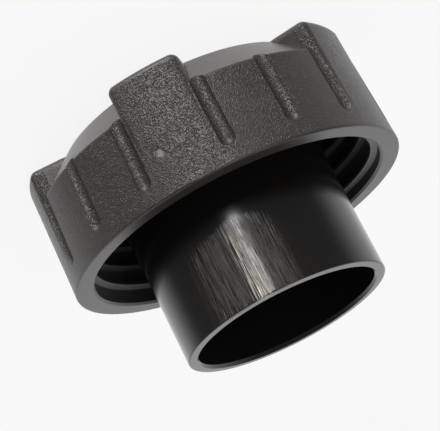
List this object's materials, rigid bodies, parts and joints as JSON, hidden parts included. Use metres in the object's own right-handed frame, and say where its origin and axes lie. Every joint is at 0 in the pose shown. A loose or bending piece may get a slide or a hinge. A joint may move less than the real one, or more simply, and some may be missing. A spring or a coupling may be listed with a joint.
{
  "type": "fuel filler cap",
  "caption": "Vented screw cap for a tank's filler neck: lobed round shell, inner tube that turns free in it, and a two-way vent valve.",
  "frame": {"origin": "centre of the crown's flat outer face, on which the cap stands", "axes": "+Z along the cap's axis, from the crown towards the open end of the inner tube; -Y through the middle of the first grip lobe"},
  "size_m": [0.08, 0.08, 0.0531],
  "materials": {
    "moulded_shell": "grained black polyamide",
    "moulded_tube": "smooth black acetal, scuffed",
    "slip_plastic": "natural acetal",
    "valve_plastic": "natural acetal",
    "seal_rubber": "nitrile rubber",
    "filter_felt": "needled felt",
    "spring_steel": "drawn spring wire",
    "clip_steel": "stamped strip"
  },
  "bodies": {
    "shell": {"outer_shell": "moulded_shell", "slip_ring": "slip_plastic"},
    "tube": {"inner_tube": "moulded_tube", "neck_seal": "seal_rubber", "breather_filter": "filter_felt", "valve_body": "valve_plastic", "valve_o_ring": "seal_rubber", "valve_cover": "valve_plastic", "splash_guard": "moulded_tube", "pressure_spring": "spring_steel"},
    "pressure_valve": {"pressure_plate": "valve_plastic", "pressure_seal": "seal_rubber", "vacuum_spring": "spring_steel"},
    "vacuum_valve": {"vacuum_valve": "valve_plastic", "vacuum_seal": "seal_rubber", "vacuum_clip": "clip_steel"}
  },
  "joints": [
    {"name": "tube_turn", "type": "hinge", "parent": "shell", "child": "tube", "pos_m": [0, 0, 0], "axis": [0, 0, 1], "continuous": true},
    {"name": "pressure_lift", "type": "slide", "parent": "tube", "child": "pressure_valve", "axis": [0, 0, -1], "range_m": [0, 0.002], "stiffness_N_per_m": 600, "springref_m": -0.005, "deforming": ["pressure_spring"]},
    {"name": "vacuum_lift", "type": "slide", "parent": "pressure_valve", "child": "vacuum_valve", "axis": [0, 0, 1], "range_m": [0, 0.0012], "stiffness_N_per_m": 60, "springref_m": -0.003, "deforming": ["vacuum_spring"]}
  ]
}
